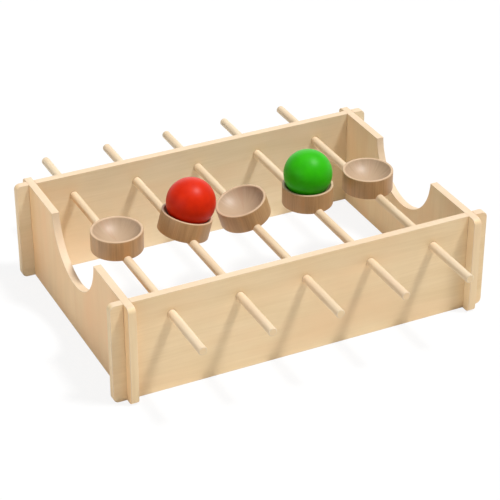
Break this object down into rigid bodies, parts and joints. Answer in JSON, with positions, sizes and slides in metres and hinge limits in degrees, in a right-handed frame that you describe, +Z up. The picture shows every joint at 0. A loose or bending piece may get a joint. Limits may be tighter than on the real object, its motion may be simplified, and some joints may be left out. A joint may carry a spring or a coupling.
{
  "type": "wooden ball-passing run",
  "caption": "Open box frame of slotted boards carrying round rods, each with a shallow turned cup that tips to pass painted wooden balls along the row.",
  "frame": {"origin": "centre of the whole footprint, with the rods, on the surface that the frame stands on", "axes": "+X along the long boards, +Y along the rods from the front board to the rear one, +Z up"},
  "size_m": [0.46, 0.46, 0.1613],
  "materials": {
    "board_wood": "sanded pale wood, unvarnished",
    "rod_wood": "sanded pale dowel, unvarnished",
    "cup_wood": "turned brown wood, oiled",
    "red_paint": "satin red paint on wood",
    "green_paint": "satin green paint on wood"
  },
  "bodies": {
    "frame": {"front_panel": "board_wood", "rear_panel": "board_wood", "left_end_panel": "board_wood", "right_end_panel": "board_wood"},
    "rod_and_cup_1": {"rod_1": "rod_wood", "cup_1": "cup_wood"},
    "rod_and_cup_2": {"rod_2": "rod_wood", "cup_2": "cup_wood"},
    "rod_and_cup_3": {"rod_3": "rod_wood", "cup_3": "cup_wood"},
    "rod_and_cup_4": {"rod_4": "rod_wood", "cup_4": "cup_wood"},
    "rod_and_cup_5": {"rod_5": "rod_wood", "cup_5": "cup_wood"},
    "red_ball": {"ball_red": "red_paint"},
    "green_ball": {"ball_green": "green_paint"}
  },
  "joints": [
    {"name": "turn_1", "type": "hinge", "parent": "frame", "child": "rod_and_cup_1", "pos_m": [-0.16, 0, 0.095], "axis": [0, 1, 0], "continuous": true},
    {"name": "turn_2", "type": "hinge", "parent": "frame", "child": "rod_and_cup_2", "pos_m": [-0.08, 0, 0.095], "axis": [0, 1, 0], "range_deg": [-43.5, 12.5]},
    {"name": "turn_3", "type": "hinge", "parent": "frame", "child": "rod_and_cup_3", "pos_m": [0, 0, 0.095], "axis": [0, 1, 0], "continuous": true},
    {"name": "turn_4", "type": "hinge", "parent": "frame", "child": "rod_and_cup_4", "pos_m": [0.08, 0, 0.095], "axis": [0, 1, 0], "range_deg": [-28, 28]},
    {"name": "turn_5", "type": "hinge", "parent": "frame", "child": "rod_and_cup_5", "pos_m": [0.16, 0, 0.095], "axis": [0, 1, 0], "continuous": true},
    {"name": "lift_red_ball", "type": "slide", "parent": "rod_and_cup_2", "child": "red_ball", "axis": [0, 0, 1], "range_m": [0, 0.09]},
    {"name": "lift_green_ball", "type": "slide", "parent": "rod_and_cup_4", "child": "green_ball", "axis": [0, 0, 1], "range_m": [0, 0.09]}
  ]
}
